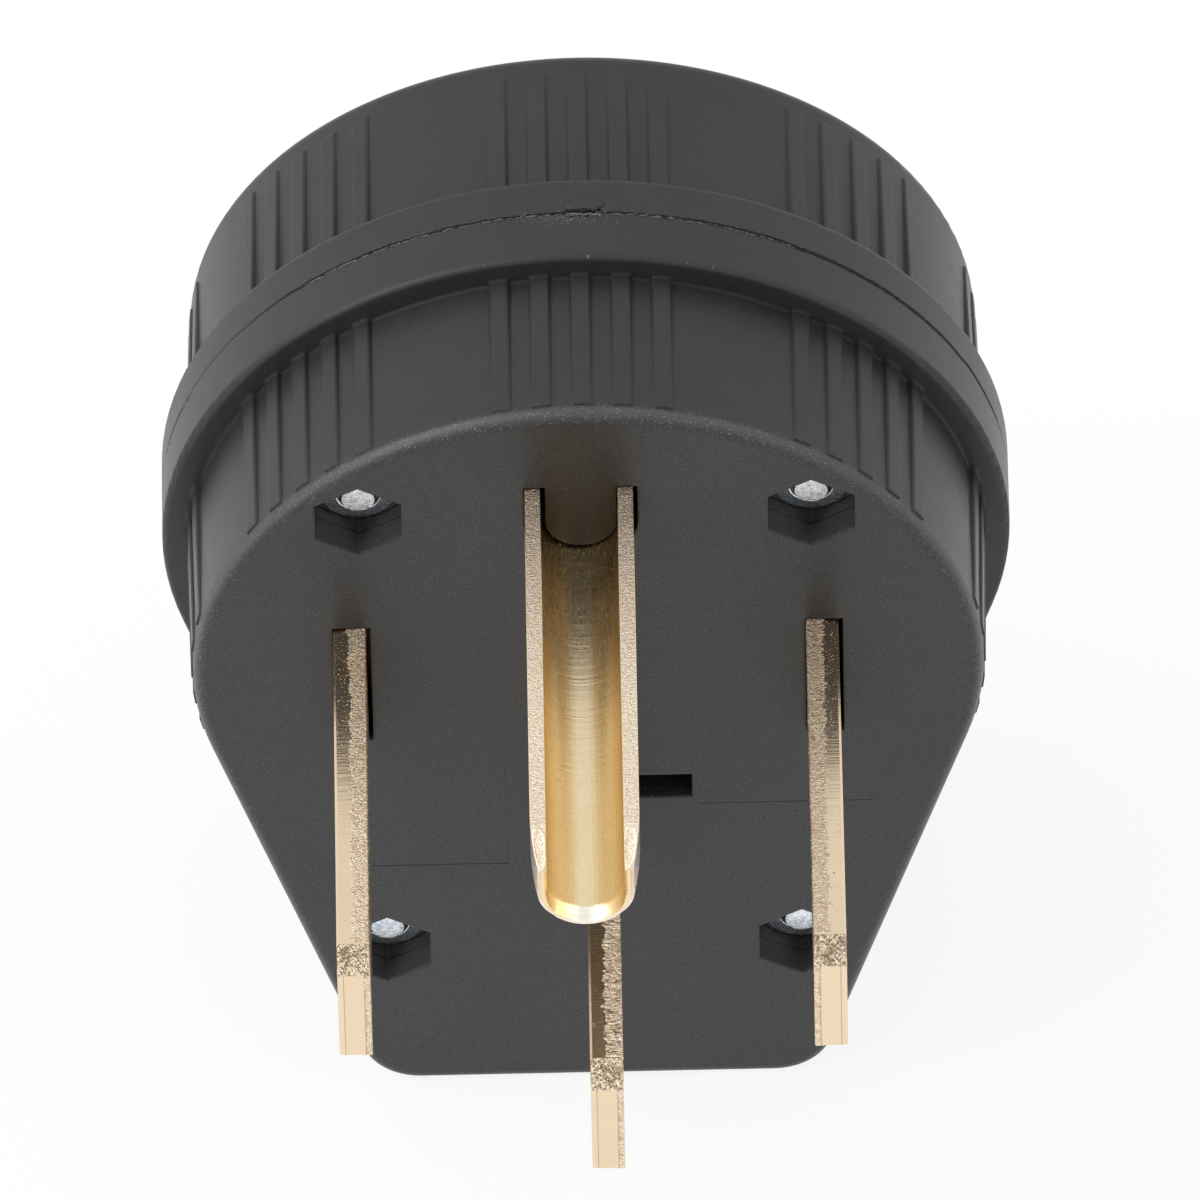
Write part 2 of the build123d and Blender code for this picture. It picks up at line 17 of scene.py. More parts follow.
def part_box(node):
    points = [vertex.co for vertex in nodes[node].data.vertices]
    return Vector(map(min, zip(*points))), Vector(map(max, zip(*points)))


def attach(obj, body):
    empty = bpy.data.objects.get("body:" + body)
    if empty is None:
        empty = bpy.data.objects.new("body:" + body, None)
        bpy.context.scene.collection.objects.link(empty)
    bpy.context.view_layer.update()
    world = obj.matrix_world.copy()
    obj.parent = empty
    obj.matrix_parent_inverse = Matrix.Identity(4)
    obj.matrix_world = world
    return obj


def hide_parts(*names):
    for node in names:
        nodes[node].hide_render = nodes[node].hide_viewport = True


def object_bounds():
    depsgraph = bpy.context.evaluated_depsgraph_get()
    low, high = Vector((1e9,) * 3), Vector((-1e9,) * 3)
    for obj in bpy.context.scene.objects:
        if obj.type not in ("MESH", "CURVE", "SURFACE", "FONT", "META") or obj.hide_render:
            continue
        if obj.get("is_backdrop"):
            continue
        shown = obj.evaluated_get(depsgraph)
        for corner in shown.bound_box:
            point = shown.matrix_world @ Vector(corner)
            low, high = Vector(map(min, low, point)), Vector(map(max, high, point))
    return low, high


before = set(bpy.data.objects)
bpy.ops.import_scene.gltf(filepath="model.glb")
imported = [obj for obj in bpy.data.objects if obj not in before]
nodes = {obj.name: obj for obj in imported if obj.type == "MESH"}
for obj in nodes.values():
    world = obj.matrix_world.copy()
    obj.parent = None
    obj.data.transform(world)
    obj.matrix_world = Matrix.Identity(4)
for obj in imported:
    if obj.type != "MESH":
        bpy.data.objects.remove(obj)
cad_low, cad_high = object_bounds()
MM = 0.001
print(len(nodes), "nodes, size in mm:", [round(v / MM, 1) for v in cad_high - cad_low])

# %% [markdown]
# ## Camera
# The photograph looks down on the plug from in front with a long lens, so that its upright
# sides run nearly parallel. The camera stands almost two metres away on a line that rises by
# 49.5 degrees, and leans by a little more than one degree. A rotation built from the three
# camera directions holds the lean without any constraint.

# %% Camera
camera_azimuth = radians(0.2)
camera_elevation = radians(49.5)
camera_roll = radians(-1.344)
camera_distance = 1.96685
camera_target = Vector((0.862 * MM, 0, 7.556 * MM))
sensor_width = 36.0
focal_share = 30029.9 / 1200

back = Vector((
    sin(camera_azimuth) * cos(camera_elevation),
    -cos(camera_azimuth) * cos(camera_elevation),
    sin(camera_elevation),
))
level = Vector((cos(camera_azimuth), sin(camera_azimuth), 0))
upright = back.cross(level)
right = level * cos(camera_roll) + upright * sin(camera_roll)
up = upright * cos(camera_roll) - level * sin(camera_roll)

camera_data = bpy.data.cameras.new("camera")
camera_data.sensor_width = sensor_width
camera_data.lens = focal_share * sensor_width
camera_data.clip_end = 10
camera = bpy.data.objects.new("camera", camera_data)
turn = Matrix((right, up, back)).transposed().to_4x4()
camera.matrix_world = Matrix.Translation(camera_target + back * camera_distance) @ turn
bpy.context.scene.collection.objects.link(camera)
bpy.context.scene.camera = camera
bpy.context.scene.view_settings.view_transform = "Standard"
print("camera at", [round(v, 3) for v in camera.matrix_world.translation])

# %% [markdown]
# ## Tools for finishes
# A finish is a shader whose colour, roughness and relief vary over the surface. Written node
# by node that is long, so a socket is wrapped in a small class with Python's arithmetic: each
# expression adds the Math nodes that it stands for. Every other node comes from one method,
# which sets the node's options first and then fills or links its sockets.

# %% A socket with arithmetic
class Field:
    """A number that varies over a surface: a socket that Python's operators work on."""

    def __init__(self, tree, socket):
        self.tree = tree
        self.socket = socket

    def maths(self, operation, *terms):
        node = self.tree.nodes.new("ShaderNodeMath")
        node.operation = operation
        for socket, term in zip(node.inputs, terms):
            if isinstance(term, Field):
                self.tree.links.new(term.socket, socket)
            else:
                socket.default_value = term
        return Field(self.tree, node.outputs[0])

    def __add__(self, other):
        return self.maths("ADD", self, other)

    def __sub__(self, other):
        return self.maths("SUBTRACT", self, other)

    def __rsub__(self, other):
        return self.maths("SUBTRACT", other, self)

    def __mul__(self, other):
        return self.maths("MULTIPLY", self, other)

    def __pow__(self, other):
        return self.maths("POWER", self, other)

    def __abs__(self):
        return self.maths("ABSOLUTE", self)

    def most(self, other):
        return self.maths("MAXIMUM", self, other)

    def least(self, other):
        return self.maths("MINIMUM", self, other)

    __radd__ = __add__
    __rmul__ = __mul__


# %% A finish
class Finish:
    """A material with a Principled shader, and the place on the object in millimetres."""

    def __init__(self, name):
        self.material = bpy.data.materials.new(name)
        self.material.use_nodes = True
        self.tree = self.material.node_tree
        self.shader = self.tree.nodes["Principled BSDF"]
        object_place = self.node("ShaderNodeTexCoord")["Object"]
        self.place = self.node(
            "ShaderNodeVectorMath",
            {"operation": "SCALE"},
            {"Vector": object_place, "Scale": 1 / MM},
        )["Vector"]
        parts = self.node("ShaderNodeSeparateXYZ", {}, {"Vector": self.place})
        self.x, self.y, self.z = parts["X"], parts["Y"], parts["Z"]

    def node(self, kind, settings=None, values=None):
        """Adds a node: its settings first, then its sockets. Returns its outputs by name."""
        node = self.tree.nodes.new(kind)
        for name, value in (settings or {}).items():
            if name == "stops":
                ramp = node.color_ramp.elements
                while len(ramp) < len(value):
                    ramp.new(0.5)
                for stop, (position, colour) in zip(ramp, value):
                    stop.position = position
                    stop.color = (*colour, 1)
            else:
                setattr(node, name, value)
        for name, value in (values or {}).items():
            socket = next(s for s in node.inputs if name in (s.identifier, s.name))
            if isinstance(value, Field):
                self.tree.links.new(value.socket, socket)
            elif socket.type == "RGBA":
                socket.default_value = (*value, 1)
            else:
                socket.default_value = value
        return {s.identifier: Field(self.tree, s) for s in node.outputs} | {
            s.name: Field(self.tree, s) for s in node.outputs if s.enabled
        }

    def noise(self, scale, detail=2.0, stretch=(1, 1, 1), shift=0.0, rough=0.5):
        """Soft noise from 0 to 1, with about so many features per millimetre."""
        place = self.node(
            "ShaderNodeMapping",
            {},
            {"Vector": self.place, "Scale": stretch, "Location": (shift, shift, shift)},
        )["Vector"]
        values = {"Vector": place, "Scale": scale, "Detail": detail, "Roughness": rough}
        return self.node("ShaderNodeTexNoise", {}, values)["Fac"]

    def rise(self, value, low, high):
        """A soft step: 0 up to low and 1 from high."""
        return self.node(
            "ShaderNodeMapRange",
            {"interpolation_type": "SMOOTHSTEP"},
            {"Value": value, "From Min": low, "From Max": high},
        )["Result"]

    def length_of(self, first, second):
        """The length of a way that goes first and second at right angles."""
        return (first * first + second * second) ** 0.5

    def mix(self, share, first, second):
        """A colour between two others."""
        return self.node(
            "ShaderNodeMix",
            {"data_type": "RGBA"},
            {"Factor_Float": share, "A_Color": first, "B_Color": second},
        )["Result_Color"]

    def relief(self, height, size, under=None):
        """A normal bent by a height; size is the height of 1 in millimetres."""
        values = {"Height": height, "Distance": size * MM, "Strength": 1.0}
        if under is not None:
            values["Normal"] = under
        return self.node("ShaderNodeBump", {}, values)["Normal"]

    def shade(self, **values):
        """Links or sets the Principled shader's sockets."""
        for name, value in values.items():
            socket = self.shader.inputs[name.replace("_", " ")]
            if isinstance(value, Field):
                self.tree.links.new(value.socket, socket)
            else:
                socket.default_value = (*value, 1) if socket.type == "RGBA" else value
        return self.material


# %% [markdown]
# ## Black nylon
# The shells are injection moulded from glass-filled nylon in a sparked mould: nearly black,
# with a fine grain that spreads the reflection of the white surroundings. Most of the grey
# that the eye sees is that reflection, so the colour underneath is dark. Some places differ:
# the rounded rim of the face has a pale sandy grain and a thin painted highlight, the mould's
# inserts have left thin lines, the nut pockets are dull, and the seam is a dark crack that is
# widest near the crown, with painted shade beside its fins and under the mound.

# %% Places on the shells that the finish follows
seam_depth = 15.9
belt_radius = 27.95
insert_lines = ((-14.6, -5.6, -19.0), (7.15, 18.4, -13.25))
insert_ticks = ((-5.6, -19.0, -9.0, 0.3), (18.4, -13.25, -12.5, 0.9))
pockets = [
    ((low.x + high.x) / 2 / MM, (low.z + high.z) / 2 / MM)
    for low, high in (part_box(f"housing_nut_{number}") for number in range(1, 5))
]
print("nut pockets at:", [(round(x, 1), round(z, 1)) for x, z in pockets])


# %% Housing finish
def pocket_mask(finish):
    """1 on the walls of the four nut pockets."""
    nearest = None
    for x, z in pockets:
        square = (finish.x - x) ** 2.0 + (finish.z - z) ** 2.0
        nearest = square if nearest is None else nearest.least(square)
    return finish.rise(finish.y, 0.02, 0.12) * (1 - finish.rise(nearest, 11.0, 12.5))


def insert_line_mask(finish):
    """1 on the thin lines that the mould's inserts left on the face."""
    lines = None
    runs = [(finish.z, finish.x, height, start, end, 1) for start, end, height in insert_lines]
    runs += [(finish.x, finish.z, x, low, high, share) for x, low, high, share in insert_ticks]
    for side, way, place, start, end, share in runs:
        across = 1 - finish.rise(abs(side - place), 0.03, 0.11)
        along = finish.rise(way, start - 0.1, start) * (1 - finish.rise(way, end, end + 0.1))
        line = across * along * share
        lines = line if lines is None else lines.most(line)
    return lines * (1 - finish.rise(abs(finish.y), 0.05, 0.2))


def seam_crack_and_shade_mask(finish):
    """1 in the crack and in its painted shade: wide near the crown, nearly closed lower down."""
    wander = (finish.noise(0.7, 5.0, shift=31.0, rough=0.55) - 0.5) * 0.36
    torn = finish.noise(0.45, 3.0, stretch=(1, 0.1, 1), shift=41.0)
    near_crown = finish.rise(finish.z, 14.0, 22.0)
    right_run = finish.rise(finish.x, 8.0, 13.0) * finish.rise(finish.z, 3.0, 8.0)
    near_crown = near_crown.most(right_run)
    left_gap = 1 - finish.rise(abs(finish.z - 7.6) + (finish.x + 26.9) * 0.2, 1.6, 2.2)
    left_gap = left_gap * (1 - finish.rise(finish.x, -20.0, -19.0))
    to_right = finish.rise(finish.x, 2.0, 14.0)
    # Painted shade: the dark band widens by turns beside the ragged fins and towards the right
    width = 0.04 + near_crown * (0.05 + torn * 0.09 + to_right * 0.05) + left_gap * 0.07
    strength = 0.3 + (near_crown + left_gap) * 0.7
    # Painted shade under the mound by the notch: the dark band widens there
    shade_under_mound = 1 - finish.rise(abs(finish.x + 0.1), 0.4, 1.3)
    width = width + shade_under_mound * near_crown * 0.12
    distance = abs(finish.y - seam_depth + wander)
    return distance.maths("LESS_THAN", distance, width) * strength.least(1.0)


def housing_finish():
    finish = Finish("black_nylon")
    broad = finish.noise(0.12, 3.0)
    cloud = finish.noise(0.9, 4.0, shift=7.0)
    grain = finish.noise(6.5, 3.0, shift=3.0, rough=0.65)
    fine_grain = finish.noise(17.0, 2.0, shift=11.0)
    sand = finish.noise(11.0, 1.0, shift=19.0, rough=0.4)
    near_rim = 1 - finish.rise(abs(finish.y - 0.5), 0.3, 0.9)
    sand_mask = finish.rise(sand, 0.62, 0.74) * (near_rim * 0.75 + 0.04)
    crack_and_shade = seam_crack_and_shade_mask(finish)
    lines = insert_line_mask(finish)
    pocket = pocket_mask(finish)
    pocket_line = pocket * (1 - finish.rise(abs(finish.y - 1.85), 0.03, 0.10))
    pale_grain_and_highlight = (0.24, 0.24, 0.24)
    tone = finish.mix(broad * 0.6 + cloud * 0.4, (0.017, 0.0172, 0.018), (0.031, 0.031, 0.0315))
    # A painted highlight: a thin pale line runs round the face's rim, but not round its slots and
    # nut pockets
    on_outline = finish.rise(finish.length_of(finish.x, finish.z), 23.0, 24.5)
    rim_highlight = (1 - finish.rise(abs(finish.y - 0.5), 0.1, 0.5)) * (1 - pocket)
    tone = finish.mix(rim_highlight * on_outline * 0.18, tone, pale_grain_and_highlight)
    tone = finish.mix(sand_mask, tone, pale_grain_and_highlight)
    dark = crack_and_shade.most(lines * 0.85).most(pocket_line)
    tone = finish.mix(pocket * 0.5, tone, (0.06, 0.06, 0.06))
    tone = finish.mix(dark, tone, (0.002, 0.002, 0.002))
    # The mould's edges are not knife sharp: the normal turns over a third of a millimetre
    normal = finish.node("ShaderNodeBevel", {"samples": 4}, {"Radius": 0.35 * MM})["Normal"]
    normal = finish.relief(grain * 0.7 + fine_grain * 0.3, 0.030, normal)
    normal = finish.relief(1 - crack_and_shade.most(lines * 0.5), 0.10, normal)
    return finish.shade(
        Base_Color=tone,
        Roughness=0.33 + cloud * 0.10 + crack_and_shade * 0.4 - pocket * 0.06,
        Specular_IOR_Level=0.42,
        Normal=normal,
    )


# %% [markdown]
# ## Brass
# The prongs are stamped from brass strip with a warm, slightly pink colour. The broad sides
# keep the rolled finish, and the die has burnished half of each narrow side, where fine lines
# run across. The other half is torn, and gets its own rough skin below. The ground pin has a
# more golden colour, which light deepens inside the U, and its cut end is pinker.

# %% Measures of the prongs, which the finishes and the skins share
blade_half, blade_tip, tip_chamfer = 2.15 / 2, -28.3, 1.5
end_bevel = 0.675
# The ground pin's end has no bevel line, so its line is put where no prong reaches
beyond_any_tip = -40.0
pin_half, pin_wall, pin_tip, pin_height = 7.1 / 2, 1.03, -31.5, 6.85
pin_middle = sum(corner.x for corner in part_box("ground_pin")) / 2 / MM
pin_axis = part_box("ground_pin")[1].z / MM - pin_height + pin_half
nose_length, nose_draw = 3.8, 0.5
bevel_length, bevel_rise = 0.9, 0.45
corner_run, corner_drop = 2.7, 1.3
cut_end_start = -28.6


def blade_middle(name):
    """The middle of a flat blade, from the side of its box that its foot doesn't reach."""
    low, high = (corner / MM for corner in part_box(name))
    return low.x + blade_half if name == "hot_blade_left" else high.x - blade_half


# %% Brass finishes
def brass_finish(name, middle, tip, deep, pale, roughness, brushed=0.014):
    """Brass of a prong whose middle is at x = middle and whose end face is at y = tip."""
    finish = Finish(name)
    broad = finish.noise(0.3, 3.0)
    rolled = finish.noise(5.0, 3.0, stretch=(1, 0.05, 1), shift=3.0)
    across = finish.noise(2.6, 3.0, stretch=(0.1, 2.2, 0.1), shift=5.0)
    stain = finish.rise(finish.noise(1.1, 5.0, shift=9.0, rough=0.7), 0.56, 0.74)
    speck = finish.rise(finish.noise(3.4, 1.0, shift=23.0), 0.77, 0.80)
    glint = finish.rise(finish.noise(7.0, 1.0, shift=43.0), 0.66, 0.72)
    near_face = finish.rise(finish.y, -16.0, -1.0)
    inside = finish.rise(finish.y, 0.6, 2.5)
    colour = finish.mix(broad, deep, pale)
    colour = finish.mix(near_face * 0.25, colour, (0.70, 0.48, 0.28))
    colour = finish.mix(stain * (near_face * 0.12 + 0.04), colour, (0.42, 0.27, 0.17))
    colour = finish.mix(speck * 0.8, colour, (0.16, 0.09, 0.06))
    # Painted shade: where the prongs run inside the housing, their colour is painted nearly black
    colour = finish.mix(inside * 0.9, colour, (0.06, 0.04, 0.025))
    # A shadow line where the end face turns into its two side bevels
    bevel_line = 1 - finish.rise(abs(abs(finish.x - middle) - end_bevel), 0.02, 0.06)
    bevel_line = bevel_line * (1 - finish.rise(finish.y, tip + 0.02, tip + 0.06))
    colour = finish.mix(bevel_line * 0.6, colour, (0.45, 0.28, 0.16))
    if name == "golden_brass":
        # The cut end of the U is pinker than its inside, and a painted highlight makes its ground
        # floor nearly white
        radius = finish.length_of(finish.x - middle, (finish.z - pin_axis).least(0.0))
        bevel = (pin_tip + bevel_length - finish.y).most(0.0) * (bevel_rise / bevel_length)
        glare = 1 - finish.rise(abs(finish.x - middle), 0.3, 1.6)
        glare = finish.rise(bevel, 0.0, 0.04) * glare
        colour = finish.mix(glare, colour, (1.0, 0.96, 0.86))
        cut_end = finish.rise(radius - (pin_half - pin_wall) - bevel, 0.03, 0.09)
        cut_end = cut_end * (1 - finish.rise(finish.y, cut_end_start - 0.3, cut_end_start))
        colour = finish.mix(cut_end, colour, (0.98, 0.85, 0.75))
    normal = finish.relief(across, brushed)
    normal = finish.relief(glint * near_face, 0.02, normal)
    return finish.shade(
        Base_Color=colour,
        Metallic=1.0,
        Roughness=roughness + rolled * 0.07 + stain * 0.12 + inside * 0.3,
        Normal=normal,
    )


def torn_brass_finish(name, deep, pale, pit_shade_share, relief=0.18, blotched=0.0, fine=1.35):
    finish = Finish(name)
    blotch = finish.rise(finish.noise(1.5, 3.0, shift=51.0), 0.45, 0.62)
    scales = finish.noise(4.4 * fine, 3.0, stretch=(0.8, 1.5, 0.8), shift=15.0, rough=0.65)
    grit = finish.noise(12.0, 2.0, shift=27.0)
    pit_shade = 1 - finish.rise(scales * 0.6 + grit * 0.4, 0.42, 0.53)
    near_face = finish.rise(finish.y, -19.0, -2.0)
    # Painted light and shade: the crests of the torn metal are painted bright and its troughs
    # brown
    crest = finish.node("ShaderNodeAttribute", {"attribute_name": "crest"})["Fac"]
    height = finish.rise(crest * 0.75 + grit * 0.25, 0.18, 0.62)
    colour = finish.mix(height, deep, pale)
    colour = finish.mix(near_face * 0.28, colour, (0.42, 0.29, 0.19))
    colour = finish.mix(blotch * blotched, colour, (0.30, 0.21, 0.13))
    # Painted shade: the pits, the low places of the relief, are painted dark brown
    colour = finish.mix(pit_shade * (0.25 + near_face * 0.75) * pit_shade_share, colour, (0.24, 0.14, 0.08))
    normal = finish.relief(scales, relief)
    normal = finish.relief(grit, 0.05, normal)
    return finish.shade(
        Base_Color=colour,
        Metallic=1.0,
        Roughness=(0.10 if blotched else 0.20) + grit * 0.16,
        Normal=normal,
    )


# %% [markdown]
# ## Zinc, steel, rubber and the inner plastic
# The nuts and long screws are bright zinc plate, bluish and slightly cloudy. The terminal
# parts have a yellower plate. The bush is soft rubber with a dull bloom, and the plate that
# holds the prongs is a plain grey moulding.

# %% Metal plate
def plate_finish(name, pale, deep, roughness):
    finish = Finish(name)
    cloud = finish.rise(finish.noise(3.0, 4.0, rough=0.65), 0.36, 0.66)
    crystal = finish.noise(8.0, 3.0, shift=4.0)
    return finish.shade(
        Base_Color=finish.mix(cloud, pale, deep),
        Metallic=1.0,
        Roughness=roughness + crystal * 0.12,
        Normal=finish.relief(crystal, 0.02),
    )


# %% Moulded soft and inner parts
def moulded_finish(name, pale, deep, roughness, grain_size):
    finish = Finish(name)
    cloud = finish.noise(0.4, 3.0)
    grain = finish.noise(5.0, 3.0, shift=2.0)
    return finish.shade(
        Base_Color=finish.mix(cloud, pale, deep),
        Roughness=roughness + cloud * 0.1,
        Normal=finish.relief(grain, grain_size),
    )


# %% Make the finishes and give them to the frame's nodes
housing = housing_finish()
blade_colours = (0.82, 0.65, 0.45), (0.90, 0.73, 0.52)
brass = {
    name: brass_finish(f"brass_{name}", blade_middle(name), blade_tip, *blade_colours, 0.19)
    for name in ("hot_blade_left", "hot_blade_right", "neutral_blade")
}
brass["ground_pin"] = brass_finish(
    "golden_brass",
    pin_middle,
    beyond_any_tip,
    (0.87, 0.715, 0.45),
    (0.93, 0.775, 0.53),
    0.24,
    brushed=0.02,
)
torn_brass = torn_brass_finish(
    "torn_brass", (0.62, 0.43, 0.28), (1.0, 0.87, 0.69), 0.4, fine=1.0
)
soft_torn = torn_brass_finish("soft_torn_brass", (0.78, 0.58, 0.40), (1.0, 0.86, 0.67), 0.5)
pressed_brass = torn_brass_finish(
    "pressed_brass",
    (0.22, 0.15, 0.10),
    (1.0, 0.88, 0.68),
    0.3,
    relief=0.16,
    blotched=0.55,
)
rim_brass = torn_brass_finish(
    "rim_brass", (0.80, 0.63, 0.46), (1.0, 0.87, 0.70), 0.6, relief=0.07
)
zinc = plate_finish("zinc_plate", (0.95, 0.98, 1.0), (0.55, 0.62, 0.72), 0.2)
terminal_plate = plate_finish("terminal_plate", (0.60, 0.55, 0.40), (0.46, 0.42, 0.32), 0.26)
rubber = moulded_finish("bush_rubber", (0.018, 0.018, 0.019), (0.03, 0.03, 0.031), 0.6, 0.02)
insulator = moulded_finish(
    "inner_plastic", (0.035, 0.035, 0.04), (0.055, 0.055, 0.06), 0.45, 0.02
)
slot_finish = {
    "housing_plastic": housing,
    "insulator_plastic": insulator,
    "terminal_steel": terminal_plate,
    "zinc_steel": zinc,
    "bush_rubber": rubber,
}
for name, node in nodes.items():
    slot = node.material_slots[0]
    slot.material = brass.get(name) or slot_finish[slot.material.name]
print("finishes:", sorted({n.material_slots[0].material.name for n in nodes.values()}))

# %% [markdown]
# ## Torn skins on the prongs
# When a press cuts thick brass, the die burnishes the first part of the cut and the rest
# breaks off. The broken part is rough, its border wanders, and small burrs stand over the
# edge. A bump map could colour it, but the burrs show against the white floor, so each torn
# zone is a thin skin of real relief: a fine grid, raised by seeded fractal noise, whose borders
# sink into the smooth prong below. The pressed facets at the tips are the same kind of skin
# with coarse dents inside an oval.

# %% A piece of the plug from a bmesh
def add_piece(name, shape, finish, stands_for=None):
    """Makes an object of a bmesh in metres that rides on the plug."""
    mesh = bpy.data.meshes.new(name)
    shape.to_mesh(mesh)
    shape.free()
    mesh.materials.append(finish)
    mesh.shade_smooth()
    mesh.set_sharp_from_angle(angle=radians(40))
    piece = bpy.data.objects.new(name, mesh)
    bpy.context.scene.collection.objects.link(piece)
    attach(piece, "root")
    if stands_for:
        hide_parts(stands_for)
    print(name, len(mesh.polygons), "faces")
    return piece


# %% The pin's nose
def nosed(place):
    """The ground pin's wall thins from outside towards the tip; its inner side stays."""
    share = (place.y - pin_tip) / nose_length
    side = place.x - pin_middle
    if share > 1 or abs(side) > pin_half + 0.1:
        return place
    drop = min(0, place.z - pin_axis)
    inner = sqrt(max(0, (pin_half - pin_wall) ** 2 - drop**2))
    if abs(side) > inner:
        kept = 1 - (1 - share) ** 2 * nose_draw / pin_wall * max(0, 1 + drop / pin_half)
        moved = inner + (abs(side) - inner) * kept
        place.x = pin_middle + (moved if side > 0 else -moved)
    return place


# %% The skin itself
def torn_skin(
    name, finish, start, along, outward, length, width, seed, relief, kind="side", fine=1.0
):
    """A rough skin: it starts at a corner, runs along, and reaches outward to the torn edge.

    kind is side for a torn zone with a wandering border, rim for one that is torn from edge
    to edge, oval for a pressed facet, and dish for a smooth hollow one with a raised rim.
    The attribute crest keeps how high each point stands, for the finish to paint as light and
    shade.
    """
    start, along, outward = Vector(start), Vector(along).normalized(), Vector(outward)
    up = along.cross(outward)
    if up.z < 0 or up.y > 0.5:
        up = -up
    spacing = 0.055
    shape = bmesh.new()
    bmesh.ops.create_grid(
        shape, x_segments=int(length / spacing), y_segments=int(width / spacing), size=0.5
    )
    crest = shape.verts.layers.float.new("crest")
    for corner in shape.verts:
        s, t = (corner.co.x + 0.5) * length, (corner.co.y + 0.5) * width
        if kind == "side":
            coarse = noise.fractal(Vector((s * 5.4 * fine, t * 2.2 * fine, seed)), 0.6, 2.1, 3)
            scale = abs(noise.noise(Vector((s * 6.8 * fine, t * 2.6 * fine, seed + 7))))
        else:
            coarse = noise.fractal(Vector((s * 6.6, t * 6.2, seed)), 0.6, 2.1, 3)
            scale = abs(noise.noise(Vector((s * 7.4, t * 6.0, seed + 7))))
        corner[crest] = min(1, max(0, 0.3 + 0.6 * coarse + 0.9 * scale))
        height = 0.02 + relief * (0.5 * coarse + scale)
        if kind in ("oval", "dish"):
            power = 5 if kind == "oval" else 3.2
            reach = abs(2 * s / length - 1) ** power + abs(2 * t / width - 1) ** power
            reach **= 1 / power
            inside = min(1, max(0, (1.06 - reach) / 0.14))
            if kind == "dish":
                height += 0.08 * max(0, 1 - abs(reach - 0.9) / 0.3)
        else:
            border = 0.16 * noise.noise(Vector((s * 0.9, 0, seed + 3)))
            border += 0.24 * noise.noise(Vector((s * 4.9, 0, seed + 5)))
            inside = min(1, max(0, (t - border - 0.18) / 0.14)) if kind == "side" else 1
            inside *= min(1, s / 0.15, (length - s) / 0.15)
        lift = (height + 0.04) * inside - 0.04
        burr = 0.0
        if kind == "side" and t > width - spacing / 2:
            burr = 0.01 + 0.10 * max(0, noise.noise(Vector((s * 4.6, 5, seed))) - 0.12)
            lift -= 0.10
        corner.co = nosed(start + along * s + outward * (t + burr) + up * lift) * MM
    bmesh.ops.recalc_face_normals(shape, faces=shape.faces)
    if sum((face.normal for face in shape.faces), Vector()).dot(up) < 0:
        bmesh.ops.reverse_faces(shape, faces=shape.faces)
    bmesh.ops.solidify(shape, geom=shape.faces, thickness=0.03 * MM)
    return add_piece(name, shape, finish)


# %% Torn sides and pressed facets of the flat blades
for number, (name, side) in enumerate(
    (("hot_blade_left", 1), ("hot_blade_right", -1), ("neutral_blade", 1))
):
    low, high = (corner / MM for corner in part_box(name))
    middle = blade_middle(name)
    run = -low.y - tip_chamfer
    neutral = name == "neutral_blade"
    torn_skin(
        f"{name}_torn_side",
        torn_brass if neutral else soft_torn,
        (middle - side * 0.32, 0.3, high.z - 0.01),
        (0, -1, 0),
        (side, 0, 0),
        run + 0.3,
        blade_half + 0.30,
        11.3 + number * 20,
        0.075 if neutral else 0.05,
        fine=1.0 if neutral else 1.35,
    )
    torn_skin(
        f"{name}_tip_facet",
        pressed_brass,
        (middle - blade_half + 0.05, low.y + tip_chamfer, high.z),
        (0, -1, -1),
        (1, 0, 0),
        tip_chamfer * sqrt(2),
        2 * blade_half - 0.10,
        4.1 + number * 20,
        0.14,
        "oval",
    )
    torn_skin(
        f"{name}_tip_edge",
        soft_torn,
        (middle + side * 0.50, low.y, high.z - tip_chamfer - 0.1),
        (0, 0, -1),
        (side, 0, 0),
        high.z - low.z - 2 * tip_chamfer,
        blade_half - 0.52,
        8.7 + number * 20,
        0.02,
    )

# %% Rims of the ground pin and the coined ovals on its corners
low, high = (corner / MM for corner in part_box("ground_pin"))
for side, label in ((-1, "left"), (1, "right")):
    inner = pin_middle + side * (pin_half - pin_wall)
    torn_skin(
        f"ground_pin_{label}_rim",
        rim_brass,
        (inner + side * 0.03, 0.3, high.z - 0.01),
        (0, -1, 0),
        (side, 0, 0),
        -low.y - corner_run + 0.3,
        pin_wall - 0.06,
        70 + side,
        0.012,
        "rim",
    )
    torn_skin(
        f"ground_pin_{label}_oval",
        rim_brass,
        (inner + side * 0.03, low.y + corner_run, high.z),
        (0, -corner_run, -corner_drop),
        (side, 0, 0),
        sqrt(corner_run**2 + corner_drop**2) - 0.1,
        pin_wall - 0.06,
        80 + side,
        0.006,
        "dish",
    )

# %% [markdown]
# ## Nose of the ground pin
# The frame's pin is straight to its end. The real one draws in over its last few millimetres,
# and its floor is ground down to a thin edge, which the finish paints with a bright highlight.
# The new pin starts from the frame's own mesh: planes cut it into short rings near the tip, and
# the rings are then moved.

